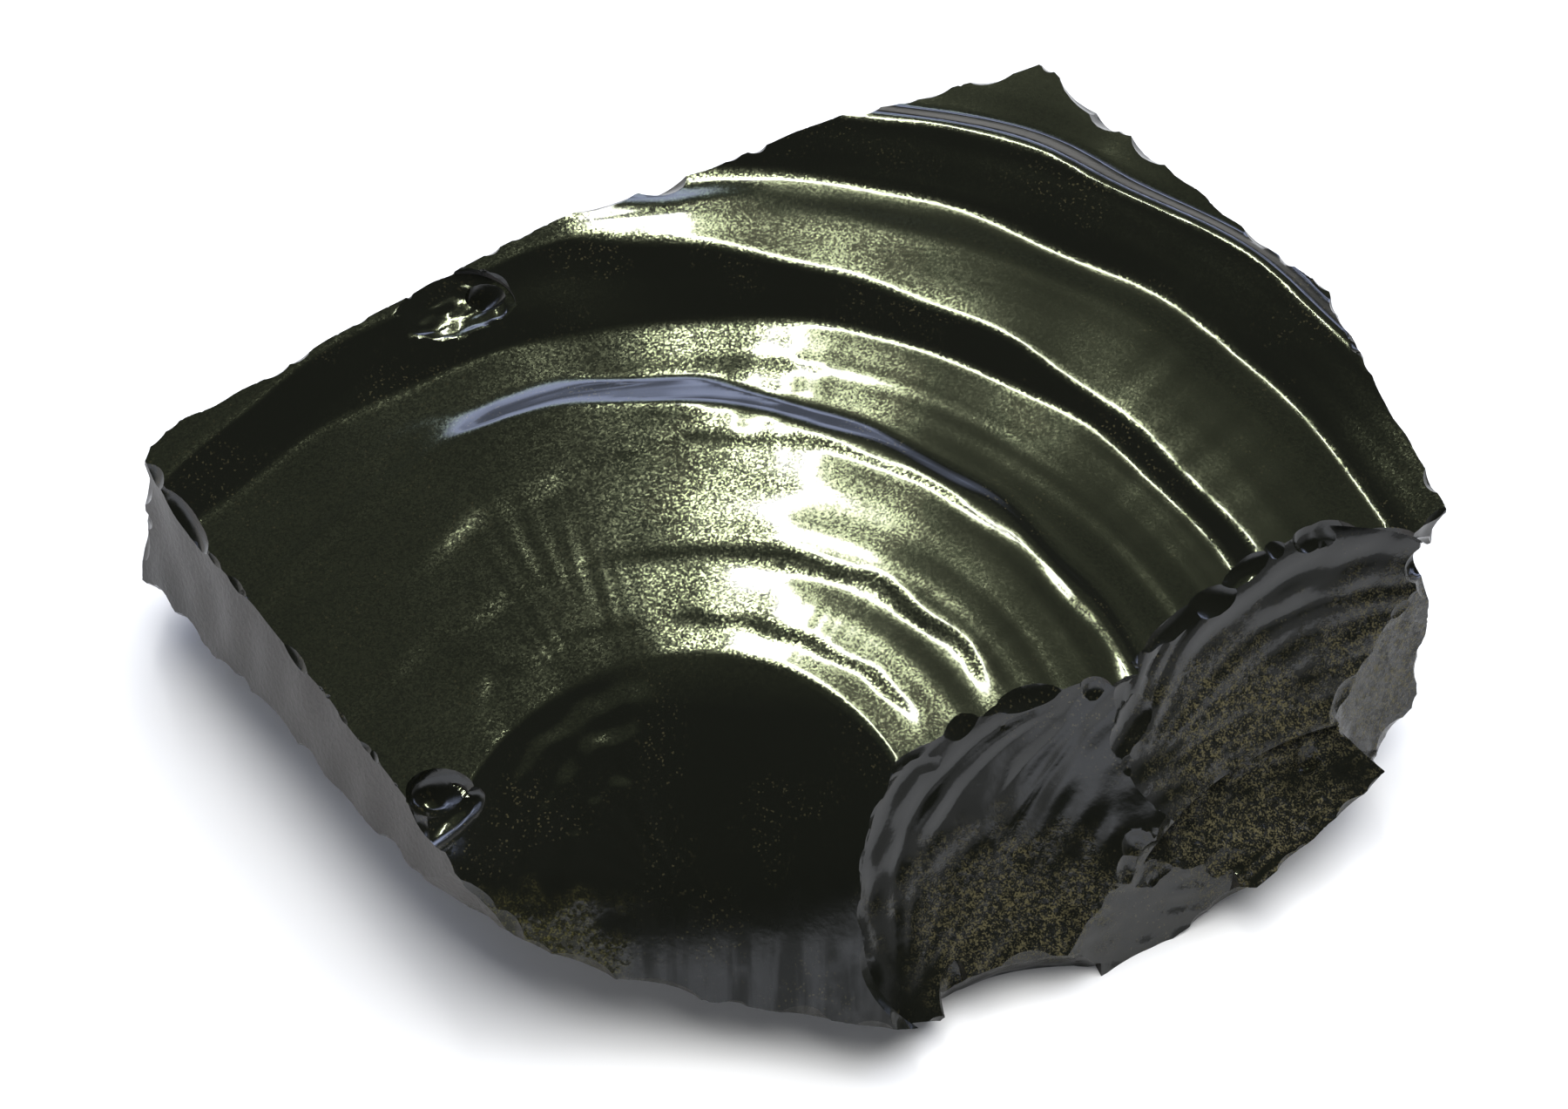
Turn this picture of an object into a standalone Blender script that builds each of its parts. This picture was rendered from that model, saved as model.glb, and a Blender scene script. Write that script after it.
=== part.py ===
"""Obsidian chunk: one piece of volcanic glass, struck off a larger block and resting on its flat underside.

Every face of the chunk is a conchoidal fracture, a shallow bowl with rings around the point that was struck.
It is made the way it came about: a raw block is cut by turned cutters, one for each fracture, whose
undersides carry the bowl and the rings. Small flakes then nick the arrises that those cuts leave.
"""
import math
import random
from typing import NamedTuple

import bmesh
import bpy
from mathutils import Matrix, Vector

MM = 0.001

# The raw block, in mm: its underside is the flat face that the chunk rests on.
BLOCK_SIZE = (120.0, 110.0, 40.0)

# The cutters: sectors around each turned shape, and the height of its flat top over its rim in mm.
MAIN_SECTORS = 76
FACE_SECTORS = 32
SCAR_SECTORS = 34
FACE_TOP = 60.0
SCAR_TOP = 30.0

# The main face: a low dome about its ring centre, on a plane that rises to the back, in mm and mm per mm.
MAIN_HEIGHT = 21.0
MAIN_RISE_BACK = 0.192
MAIN_RISE_RIGHT = 0.064
MAIN_FALL = 3.0           # degrees that the dome falls away from the ring centre
MAIN_CROWN = 20.0         # radius in mm where the dome has its full slope
MAIN_REACH = 84.0
RING_CENTRE = (-7.0, -28.5)
SLOPE_STEP = 0.25         # mm between the places where slopes are added up

# The swelling under the struck point: inside this radius the face rolls over towards the front edge.
BULB_RADIUS = 16.0
BULB_SLOPE = 9.0          # degrees, where the roll begins
BULB_CURVE = 1.1          # degrees more for each mm further forward
BROW_START = -24.0        # depth position in mm where the front edge starts to round over
BROW_CURVE = 0.05         # further drop in mm for each square mm past it

# Rings of the main face. A band leans the surface by its slope in degrees, plus towards the ring centre.
# Each stop gives a bearing in degrees, clockwise from the back, and the band's inner and outer radius in mm.
RING_SOFTNESS = 0.9
RING_BANDS = (
    (12.0, ((-40, 18.8, 19.6), (50, 18.4, 19.2))),
    (12.0, ((-45, 24.4, 25.4), (50, 24.2, 25.2))),
    (10.0, ((-30, 31.0, 32.5), (0, 33.4, 34.4), (65, 33.6, 34.8))),
    (-13.0, ((-22, 39.0, 41.5), (5, 36.0, 38.5), (25, 34.9, 37.0), (65, 34.6, 36.2))),
    (15.0, ((-62, 46.0, 49.0), (-40, 45.0, 50.0), (-10, 44.5, 53.0), (12, 45.5, 49.5),
            (40, 45.3, 46.9), (65, 44.3, 45.7))),
    (-9.0, ((-15, 57.5, 60.0), (10, 52.5, 57.0), (55, 52.0, 55.5))),
    (14.0, ((0, 58.5, 62.0), (15, 57.0, 63.0), (50, 55.6, 62.6), (70, 55.0, 60.0))),
    (-24.0, ((8, 63.2, 64.8), (48, 62.6, 64.2))),
)
RING_FADE = 14.0          # degrees over which a band dies out past its last stop
RING_WOBBLE = 0.7         # mm that the rings stray from true circles

# Small flakes nicked from the arrises.
CHIP_SEED = 11
CHIP_COUNT = 46
CHIP_SIZE = (0.9, 2.6)    # radius of a flake, mm
ARRIS_ANGLE = 42.0        # degrees between two faces that make an arris
BASE_CLEARANCE = 1.2      # mm above the underside where no flake starts


class Fracture(NamedTuple):
    """One fracture: the middle of its rings, which way it faces and the shape of its surface."""

    name: str
    middle: tuple         # ring centre in mm, on the plane of the rim
    bearing: float        # degrees from +X towards +Y that the surface faces
    lift: float           # degrees that it faces upward, negative where it faces the table
    reach: float          # radius of the rim in mm
    bowl: float           # depth below the rim in mm, negative where it swells
    ripple: float         # height of the rings in mm
    spacing: float        # distance between rings in mm
    oval: float = 1.0     # how many times longer than wide
    lean: float = 0.0     # degrees that the long way leans from level


FACES = (
    Fracture("under_left", (-17.9, -8.0, 0.3), -136.0, -66.0, 60.0, 0.6, 0.10, 9.0),
    Fracture("under_front_left", (-18.2, -20.8, 0.3), -131.0, -45.0, 45.0, 0.5, 0.10, 7.0),
    Fracture("under_front", (-3.6, -30.4, 0.3), -97.0, -45.0, 50.0, 0.5, 0.10, 7.0),
    Fracture("under_right", (25.9, -28.3, 0.3), -39.5, -43.8, 45.0, 0.6, 0.12, 8.0),
    Fracture("under_back", (-8.0, 24.0, 0.5), 112.0, -52.0, 70.0, 1.0, 0.15, 9.0),
    Fracture("under_corner", (29.0, 14.0, 0.5), 36.0, -50.0, 50.0, 1.0, 0.15, 8.0),
    Fracture("front_left", (-18.9, -29.8, 5.0), -125.0, -9.0, 40.0, 0.3, 0.10, 5.0),
    Fracture("back_left", (-34.2, 17.3, 4.0), 121.0, 6.0, 70.0, 0.4, 0.12, 8.0),
    Fracture("back", (-2.3, 32.8, 2.0), 110.3, 9.0, 80.0, -2.0, 0.15, 9.0),
    Fracture("back_right", (29.0, 33.4, 2.0), 42.0, 7.0, 60.0, 1.0, 0.15, 7.0),
    Fracture("right", (44.6, 2.5, 6.0), 20.0, -2.0, 50.0, 0.6, 0.15, 6.0),
    Fracture("left", (-36.8, -12.6, 6.0), -143.9, 10.5, 60.0, 0.9, 0.10, 6.0),
)

SCARS = (
    Fracture("scar_b", (36.5, -11.2, 13.0), -60.0, 30.0, 10.5, 1.6, 0.18, 2.6, 1.4, 0.0),
    Fracture("scar_a", (15.8, -24.6, 10.2), -70.0, 32.0, 10.5, 2.6, 0.20, 1.9, 1.3, 45.0),
    Fracture("scar_c", (45.0, -6.1, 13.0), -51.0, 6.0, 7.6, 1.1, 0.10, 2.0, 1.5, 85.0),
    Fracture("scar_d", (25.4, -24.6, 4.6), -60.0, 17.0, 7.5, 0.9, 0.10, 2.4),
    Fracture("scar_e", (35.8, -17.9, 5.4), -60.0, 60.0, 5.0, 0.6, 0.10, 2.0, 2.5, 4.0),
    Fracture("notch", (-25.6, 16.2, 21.6), 121.0, 72.0, 4.4, 0.8, 0.10, 1.6, 1.4, 0.0),
    Fracture("bevel", (43.2, 6.5, 25.2), 14.0, 52.0, 8.0, 0.8, 0.12, 2.4, 1.9, 0.0),
    Fracture("back_hollow", (4.0, 36.0, 11.0), 114.0, 4.0, 15.0, 1.6, 0.15, 3.6, 1.3, 10.0),
    Fracture("back_hinge", (-24.0, 23.6, 6.0), 118.0, -14.0, 12.0, 1.3, 0.12, 3.0, 1.2, -20.0),
    Fracture("corner_hollow", (33.5, 26.5, 9.0), 46.0, -6.0, 12.0, 1.4, 0.12, 3.0, 1.2, 30.0),
    Fracture("heel", (40.0, 8.0, 5.0), 22.0, -28.0, 11.0, 1.2, 0.12, 3.0),
    Fracture("left_corner", (-47.6, 5.5, 13.0), 166.0, 5.0, 12.0, 0.5, 0.10, 2.4),
    Fracture("foot", (16.6, -29.0, 1.6), -75.0, -25.0, 6.2, 1.0, 0.08, 2.2),
    Fracture("toe", (9.5, -36.0, 3.0), -80.0, 25.0, 5.5, 0.5, 0.08, 1.8),
)


def smooth_step(low, high, value):
    """Rise from 0 at low to 1 at high, flat at both ends."""
    t = min(max((value - low) / (high - low), 0.0), 1.0)
    return t * t * (3.0 - 2.0 * t)


def band_at(stops, bearing):
    """Inner radius, outer radius and strength of a band of rings in one direction."""
    first, last = stops[0][0], stops[-1][0]
    strength = smooth_step(first - RING_FADE, first, bearing)
    strength *= 1.0 - smooth_step(last, last + RING_FADE, bearing)
    held = min(max(bearing, first), last)
    for start, end in zip(stops, stops[1:]):
        if held <= end[0]:
            t = smooth_step(start[0], end[0], held)
            inner = start[1] + t * (end[1] - start[1])
            outer = start[2] + t * (end[2] - start[2])
            return inner, outer, strength
    return last[1], last[2], strength


def ring_slope(radius, bearing):
    """Lean of the main face in degrees, at a radius and a bearing from its ring centre."""
    total = -MAIN_FALL * smooth_step(0.0, MAIN_CROWN, radius)
    for slope, stops in RING_BANDS:
        inner, outer, strength = band_at(stops, bearing)
        rise = smooth_step(inner - RING_SOFTNESS / 2, inner + RING_SOFTNESS / 2, radius)
        fall = smooth_step(outer - RING_SOFTNESS / 2, outer + RING_SOFTNESS / 2, radius)
        total += slope * strength * (rise - fall)
    return total


def ring_radii():
    """Radii of the rings of the main face's cutter, closer where the surface turns."""
    inner = [1.0, 4.0, 8.0, 12.0, BULB_RADIUS, 18.4, 19.6, 22.0, 24.2, 25.4, 28.5]
    middle = [31.5, 33.4, 34.6, 36.0, 38.0, 40.0, 42.0, 44.3, 45.4, 46.6, 48.2, 50.0]
    outer = [52.0, 54.0, 55.5, 57.2, 59.0, 61.0, 62.8, 64.4, 67.0, 71.0, MAIN_REACH]
    return inner + middle + outer


def bulb_drop(x, y):
    """How far the face has rolled down towards the front edge, in mm."""
    across = x - RING_CENTRE[0]
    back = RING_CENTRE[1] + math.sqrt(max(BULB_RADIUS ** 2 - across ** 2, 0.0))
    forward = max(back - y, 0.0)
    brow = max(BROW_START - y, 0.0)
    roll = math.tan(math.radians(BULB_SLOPE)) * forward + 0.5 * math.radians(BULB_CURVE) * forward ** 2
    return roll + BROW_CURVE * brow ** 2


def turned_solid(name, profile, sectors):
    """Mesh object turned about +Z from a profile that runs from the top of the axis to its foot, in mm."""
    mesh = bpy.data.meshes.new(name)
    outline = bmesh.new()
    points = [outline.verts.new((radius * MM, 0.0, height * MM)) for radius, height in profile]
    for start, end in zip(points, points[1:]):
        outline.edges.new((start, end))
    outline.to_mesh(mesh)
    outline.free()
    turned = bpy.data.objects.new(name, mesh)
    bpy.context.scene.collection.objects.link(turned)
    screw = turned.modifiers.new("turn", "SCREW")
    screw.steps = screw.render_steps = sectors
    screw.use_merge_vertices = True
    screw.merge_threshold = 0.00001
    bake_modifiers(turned)
    return turned


def bake_modifiers(item):
    """Replace an object's mesh by the shape that its modifiers give it."""
    bpy.context.view_layer.update()
    graph = bpy.context.evaluated_depsgraph_get()
    shaped = bpy.data.meshes.new_from_object(item.evaluated_get(graph))
    old = item.data
    item.modifiers.clear()
    item.data = shaped
    shaped.name = item.name
    bpy.data.meshes.remove(old)


def keep_as_cutter(item, cutters):
    """Put a cutter in its own collection, drawn as wire and left out of the render."""
    for home in list(item.users_collection):
        home.objects.unlink(item)
    cutters.objects.link(item)
    item.display_type = "WIRE"
    item.hide_render = True


def main_face_cutter(cutters):
    """Cutter above the main face: a turned disc whose underside takes the rings and the rolled front."""
    radii = ring_radii()
    profile = [(0.0, FACE_TOP), (MAIN_REACH, FACE_TOP)]
    profile += [(radius, 0.0) for radius in reversed(radii)]
    profile.append((0.0, 0.0))
    cutter = turned_solid("main_face", profile, MAIN_SECTORS)
    columns = {}
    for vertex in cutter.data.vertices:
        if vertex.co.z > MM:
            continue
        x, y = vertex.co.x / MM, vertex.co.y / MM
        radius = math.hypot(x, y)
        bearing = math.degrees(math.atan2(x, y))
        columns.setdefault(round(bearing, 2), []).append((radius, vertex))
    for bearing, column in columns.items():
        shape_column(bearing, sorted(column, key=lambda entry: entry[0]))
    keep_as_cutter(cutter, cutters)
    return cutter


def shape_column(bearing, column):
    """Set the heights of the cutter's points in one direction by adding up the slopes of the rings."""
    walked = 0.0
    climbed = 0.0
    angle = math.radians(bearing)
    for radius, vertex in column:
        while walked < radius:
            climbed += SLOPE_STEP * math.tan(math.radians(ring_slope(walked, bearing)))
            walked += SLOPE_STEP
        stray = RING_WOBBLE * math.sin(3.0 * angle + 0.21 * radius) * smooth_step(4.0, 30.0, radius)
        x = RING_CENTRE[0] + (radius + stray) * math.sin(angle)
        y = RING_CENTRE[1] + (radius + stray) * math.cos(angle)
        plane = MAIN_HEIGHT + MAIN_RISE_BACK * y + MAIN_RISE_RIGHT * x
        vertex.co = Vector((x, y, plane + climbed - bulb_drop(x, y))) * MM


def fracture_profile(fracture, rings, top):
    """Profile of a fracture's cutter: flat top, straight wall, and the bowl and rings beneath."""
    profile = [(0.0, top), (fracture.reach, top)]
    for index in range(rings, -1, -1):
        share = index / rings
        radius = fracture.reach * share
        bowl = -fracture.bowl * (1.0 - share ** 2)
        ripple = fracture.ripple * share * math.cos(2.0 * math.pi * radius / fracture.spacing)
        profile.append((radius, bowl + ripple))
    return profile


def fracture_cutter(fracture, cutters, sectors, top):
    """Turned cutter of one fracture, with its axis along the way that the surface faces."""
    rings = max(6, round(2.0 * fracture.reach / fracture.spacing))
    cutter = turned_solid(fracture.name, fracture_profile(fracture, rings, top), sectors)
    bearing, lift = math.radians(fracture.bearing), math.radians(fracture.lift)
    facing = Vector((math.cos(lift) * math.cos(bearing), math.cos(lift) * math.sin(bearing), math.sin(lift)))
    turn = facing.to_track_quat("Z", "Y").to_matrix().to_4x4()
    lean = Matrix.Rotation(math.radians(fracture.lean), 4, "Z")
    cutter.data.transform(lean @ Matrix.Diagonal((fracture.oval, 1.0, 1.0, 1.0)))
    cutter.matrix_world = Matrix.Translation(Vector(fracture.middle) * MM) @ turn
    keep_as_cutter(cutter, cutters)
    return cutter


def cut(item, cutter):
    """Take a cutter away from an object.

    The exact solver loses the whole chunk where the scars nest, so the manifold solver does it.
    """
    boolean = item.modifiers.new(cutter.name, "BOOLEAN")
    boolean.operation = "DIFFERENCE"
    boolean.object = cutter
    boolean.solver = "MANIFOLD"


def raw_block():
    """The block before any fracture, standing on its flat underside."""
    mesh = bpy.data.meshes.new("obsidian_chunk")
    block = bmesh.new()
    bmesh.ops.create_cube(block, size=1.0)
    bmesh.ops.scale(block, vec=Vector(BLOCK_SIZE) * MM, verts=block.verts)
    bmesh.ops.translate(block, vec=(0.0, 0.0, BLOCK_SIZE[2] * MM / 2), verts=block.verts)
    block.to_mesh(mesh)
    block.free()
    return bpy.data.objects.new("obsidian_chunk", mesh)


def arris_points(mesh):
    """Midpoints and facing directions of the sharp edges."""
    shape = bmesh.new()
    shape.from_mesh(mesh)
    found = []
    for edge in shape.edges:
        if len(edge.link_faces) != 2 or edge.calc_face_angle_signed() < math.radians(ARRIS_ANGLE):
            continue
        middle = (edge.verts[0].co + edge.verts[1].co) / 2
        if middle.z < BASE_CLEARANCE * MM:
            continue
        facing = (edge.link_faces[0].normal + edge.link_faces[1].normal).normalized()
        found.append((edge.calc_length(), middle.copy(), facing))
    shape.free()
    return found


def chip_arrises(chunk, cutters):
    """Nick small flakes out of the arrises, more on longer ones."""
    source = random.Random(CHIP_SEED)
    arrises = arris_points(chunk.data)
    lengths = [length for length, _, _ in arrises]
    for index in range(CHIP_COUNT):
        _, point, facing = source.choices(arrises, weights=lengths)[0]
        size = source.uniform(*CHIP_SIZE) * MM
        mesh = bpy.data.meshes.new(f"flake_{index}")
        flake = bmesh.new()
        bmesh.ops.create_uvsphere(flake, u_segments=7, v_segments=5, radius=size)
        turn = Matrix.Rotation(source.uniform(0.0, math.pi), 4, facing)
        squash = Matrix.Diagonal((source.uniform(1.0, 1.8), 1.0, source.uniform(0.6, 0.9), 1.0))
        away = facing * size * source.uniform(0.55, 0.75)
        bmesh.ops.transform(flake, matrix=Matrix.Translation(point + away) @ turn @ squash, verts=flake.verts)
        flake.to_mesh(mesh)
        flake.free()
        nick = bpy.data.objects.new(f"flake_{index}", mesh)
        keep_as_cutter(nick, cutters)
        cut(chunk, nick)


def drop_crumbs(chunk):
    """Keep the largest connected body, without the crumbs that the cuts broke off."""
    shape = bmesh.new()
    shape.from_mesh(chunk.data)
    waiting = set(shape.verts)
    bodies = []
    while waiting:
        body = [waiting.pop()]
        for vertex in body:
            near = {edge.other_vert(vertex) for edge in vertex.link_edges} & waiting
            waiting -= near
            body.extend(near)
        bodies.append(body)
    bodies.sort(key=len)
    crumbs = [vertex for body in bodies[:-1] for vertex in body]
    bmesh.ops.delete(shape, geom=crumbs, context="VERTS")
    shape.to_mesh(chunk.data)
    shape.free()


def obsidian_material():
    """Near-black volcanic glass with a glossy fracture surface."""
    material = bpy.data.materials.new("obsidian")
    material.use_nodes = True
    shader = material.node_tree.nodes["Principled BSDF"]
    shader.inputs["Base Color"].default_value = (0.020, 0.021, 0.015, 1.0)
    shader.inputs["Roughness"].default_value = 0.12
    shader.inputs["Metallic"].default_value = 0.0
    shader.inputs["IOR"].default_value = 1.49
    return material


def centre_on_table(chunk):
    """Move the mesh so that the middle of its bounding box stands over the origin."""
    corners = [Vector(corner) for corner in chunk.bound_box]
    low = Vector(min(corner[axis] for corner in corners) for axis in range(3))
    high = Vector(max(corner[axis] for corner in corners) for axis in range(3))
    middle = (low + high) / 2
    chunk.data.transform(Matrix.Translation((-middle.x, -middle.y, -low.z)))


def main():
    for item in list(bpy.data.objects):
        bpy.data.objects.remove(item, do_unlink=True)
    home = bpy.data.collections.new("obsidian_chunk")
    cutters = bpy.data.collections.new("cutters")
    bpy.context.scene.collection.children.link(home)
    bpy.context.scene.collection.children.link(cutters)

    chunk = raw_block()
    home.objects.link(chunk)
    for face in FACES:
        cut(chunk, fracture_cutter(face, cutters, FACE_SECTORS, FACE_TOP))
    cut(chunk, main_face_cutter(cutters))
    for scar in SCARS:
        cut(chunk, fracture_cutter(scar, cutters, SCAR_SECTORS, SCAR_TOP))
    bake_modifiers(chunk)
    drop_crumbs(chunk)
    chip_arrises(chunk, cutters)
    bake_modifiers(chunk)
    drop_crumbs(chunk)
    centre_on_table(chunk)
    chunk.data.materials.clear()
    chunk.data.materials.append(obsidian_material())


if __name__ == "__main__":
    main()
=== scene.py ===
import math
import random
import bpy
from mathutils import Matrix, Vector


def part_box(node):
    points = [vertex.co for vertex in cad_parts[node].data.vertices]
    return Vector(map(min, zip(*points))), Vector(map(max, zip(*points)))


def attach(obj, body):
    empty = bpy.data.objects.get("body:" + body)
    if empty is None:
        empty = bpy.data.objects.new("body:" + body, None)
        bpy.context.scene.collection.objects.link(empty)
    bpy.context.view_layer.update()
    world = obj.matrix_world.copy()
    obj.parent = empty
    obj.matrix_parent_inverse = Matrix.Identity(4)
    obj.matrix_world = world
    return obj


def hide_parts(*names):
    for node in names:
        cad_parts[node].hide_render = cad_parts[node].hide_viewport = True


bl_info = {
    "name": "Obsidian Chunk",
    "version": (1, 0, 0),
    "blender": (4, 5, 0),
    "location": "3D View > Sidebar > Obsidian",
    "description": "Builds a chunk of gold-sheen obsidian with its fracture ripples, scars and flaked edges",
    "category": "Add Mesh",
}

from typing import NamedTuple

import bmesh
import bpy
import numpy as np
from bpy.props import (
    FloatProperty,
    FloatVectorProperty,
    IntProperty,
    PointerProperty,
)
from mathutils import Matrix, Vector, noise

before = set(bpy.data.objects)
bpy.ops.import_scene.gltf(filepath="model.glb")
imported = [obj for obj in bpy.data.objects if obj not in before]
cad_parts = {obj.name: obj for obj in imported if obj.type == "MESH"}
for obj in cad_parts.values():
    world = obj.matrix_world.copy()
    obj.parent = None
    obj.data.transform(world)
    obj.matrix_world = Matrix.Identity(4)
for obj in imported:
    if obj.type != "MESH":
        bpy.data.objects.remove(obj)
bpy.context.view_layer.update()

MM = 0.001
NODE = "obsidian_chunk"

# The raw block that the fractures are cut from, in mm.
BLOCK_SIZE = (120.0, 110.0, 40.0)

# Rings of the main face. A band leans the surface by its slope in degrees, plus towards the ring centre.
# Each stop gives a bearing in degrees, clockwise from the back, and the band's inner and outer radius in mm.
RING_BANDS = (
    (-16.0, ((-88, 7.9, 9.3), (-30, 7.7, 8.9))),
    (-16.0, ((-88, 10.4, 11.9), (-25, 10.6, 11.9))),
    (-13.0, ((-88, 12.9, 14.4), (-20, 13.0, 14.2))),
    (7.0, ((-40, 18.8, 19.6), (50, 18.4, 19.2))),
    (8.0, ((-45, 24.4, 25.4), (50, 24.2, 25.2))),
    (8.0, ((-30, 31.0, 32.3), (0, 33.4, 34.2), (65, 33.6, 34.4))),
    (-13.0, ((-20, 38.8, 41.6), (5, 36.0, 38.7), (25, 35.0, 36.5), (65, 34.7, 35.6))),
    (15.0, ((-62, 46.0, 49.0), (-40, 45.0, 50.0), (-10, 44.5, 53.0), (12, 45.5, 49.5),
            (40, 45.3, 46.9), (65, 44.3, 45.7))),
    (-11.0, ((-14, 57.3, 58.6), (-2, 55.4, 57.0))),
    (-5.0, ((14, 54.6, 55.9), (55, 53.6, 54.6))),
    (14.0, ((0, 58.5, 62.0), (15, 57.0, 63.0), (50, 55.6, 62.6), (70, 55.0, 60.0))),
    (-24.0, ((8, 63.2, 64.8), (48, 62.6, 64.2))),
)
RING_FADE = 14.0          # degrees over which a band dies out past its last stop
MAIN_REACH = 84.0         # radius of the main face's cutter, mm
MAIN_TOP = 60.0           # height of its flat top, mm
WEDGES = 20               # equal wedges that a turned cutter is repeated from


SHEEN_LAYER = Vector((-0.064, -0.155, 1.0))       # upright of the flow layer that carries the sheen
# Broken ground in the scars: middle and half size in mm.
BROKEN_GROUND = (
    ((34.0, -14.0, 11.0), (10.0, 6.0, 6.5)),
    ((44.0, -7.5, 9.0), (7.0, 6.5, 8.5)),
    ((35.0, -19.0, 5.5), (11.0, 5.0, 5.0)),
)


class Fracture(NamedTuple):
    """One fracture: the middle of its rings, which way it faces and the shape of its surface."""

    name: str
    middle: tuple         # ring centre in mm, on the plane of the rim
    bearing: float        # degrees from +X towards +Y that the surface faces
    lift: float           # degrees that it faces upward, negative where it faces the table
    reach: float          # radius of the rim in mm
    bowl: float           # depth below the rim in mm, negative where it swells
    ripple: float         # height of the rings in mm
    spacing: float        # distance between rings in mm
    oval: float = 1.0     # how many times longer than wide
    lean: float = 0.0     # degrees that the long way leans from level
    tips: float = 0.0     # half the distance in mm between the tips of crescent ripples, 0 for round rings
    struck: tuple = (0.0, 0.0)    # middle of the rings or crescents, in mm along and across the long way


FACES = (
    Fracture("under_left", (-17.9, -8.0, 0.3), -136.0, -66.0, 60.0, 0.6, 0.10, 9.0),
    Fracture("under_front_left", (-18.2, -20.8, 0.3), -131.0, -45.0, 45.0, 0.5, 0.10, 7.0),
    Fracture("under_front", (-3.6, -30.4, 0.3), -97.0, -45.0, 50.0, 0.5, 0.10, 7.0),
    Fracture("under_right", (25.9, -28.3, 0.3), -39.5, -43.8, 45.0, 0.6, 0.12, 8.0),
    Fracture("under_back", (-8.0, 24.0, 0.5), 112.0, -52.0, 70.0, 1.0, 0.15, 9.0),
    Fracture("under_corner", (29.0, 14.0, 0.5), 36.0, -50.0, 50.0, 1.0, 0.15, 8.0),
    Fracture("front_left", (-18.9, -29.8, 5.0), -125.0, -9.0, 40.0, 0.3, 0.10, 5.0),
    Fracture("back_left", (-34.2, 17.3, 4.0), 121.0, 6.0, 70.0, 0.4, 0.12, 8.0),
    Fracture("back", (-2.3, 32.8, 2.0), 110.3, 9.0, 80.0, -2.0, 0.15, 9.0),
    Fracture("back_right", (29.0, 33.4, 2.0), 42.0, 7.0, 60.0, 1.0, 0.15, 7.0),
    Fracture("right", (44.6, 2.5, 6.0), 20.0, -2.0, 50.0, 0.6, 0.15, 6.0),
    Fracture("left", (-36.8, -12.6, 6.0), -143.9, 10.5, 60.0, 0.9, 0.10, 6.0),
)

SCARS = (
    Fracture("scar_b", (36.5, -11.2, 13.0), -60.0, 36.0, 10.5, 1.4, 0.11, 2.5, 1.4, 0.0, tips=17.0,
             struck=(3.0, -3.0)),
    Fracture("scar_a", (15.8, -24.6, 10.2), -70.0, 38.0, 10.5, 2.1, 0.12, 2.4, 1.3, 45.0, tips=12.5),
    Fracture("scar_c", (45.0, -6.1, 13.0), -51.0, 6.0, 7.6, 1.1, 0.05, 2.0, 1.5, 85.0),
    Fracture("scar_d", (25.4, -24.6, 4.6), -60.0, 17.0, 7.5, 0.9, 0.05, 2.4),
    Fracture("scar_e", (35.8, -17.9, 5.4), -60.0, 60.0, 5.0, 0.6, 0.10, 2.0, 2.5, 4.0),
    Fracture("glint", (-24.6, -24.6, 13.75), -78.0, 85.2, 2.3, 0.10, 0.01, 1.1, 1.6, 40.0),
    Fracture("notch_glint", (-28.6, 14.4, 21.5), -112.0, 81.0, 1.5, 0.25, 0.02, 0.9, 1.4, 60.0),
    Fracture("notch", (-25.6, 16.2, 21.6), 121.0, 95.0, 4.4, 1.0, 0.06, 1.6, 1.4, 0.0),
    Fracture("bevel", (43.2, 6.5, 25.2), 14.0, 52.0, 8.0, 0.8, 0.12, 2.4, 1.9, 0.0),
    Fracture("back_hollow", (4.0, 36.0, 11.0), 114.0, 4.0, 15.0, 1.6, 0.15, 3.6, 1.3, 10.0),
    Fracture("back_hinge", (-24.0, 23.6, 6.0), 118.0, -14.0, 12.0, 1.3, 0.12, 3.0, 1.2, -20.0),
    Fracture("corner_hollow", (33.5, 26.5, 9.0), 46.0, -6.0, 12.0, 1.4, 0.12, 3.0, 1.2, 30.0),
    Fracture("heel", (40.0, 8.0, 5.0), 22.0, -28.0, 11.0, 1.2, 0.12, 3.0),
    Fracture("left_corner", (-47.6, 5.5, 13.0), 166.0, 5.0, 12.0, 0.5, 0.10, 2.4),
    Fracture("foot", (16.6, -29.0, 1.6), -75.0, -25.0, 6.2, 1.0, 0.08, 2.2),
    Fracture("toe", (9.5, -36.0, 3.0), -80.0, 25.0, 5.5, 0.5, 0.08, 1.8),
)


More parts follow.
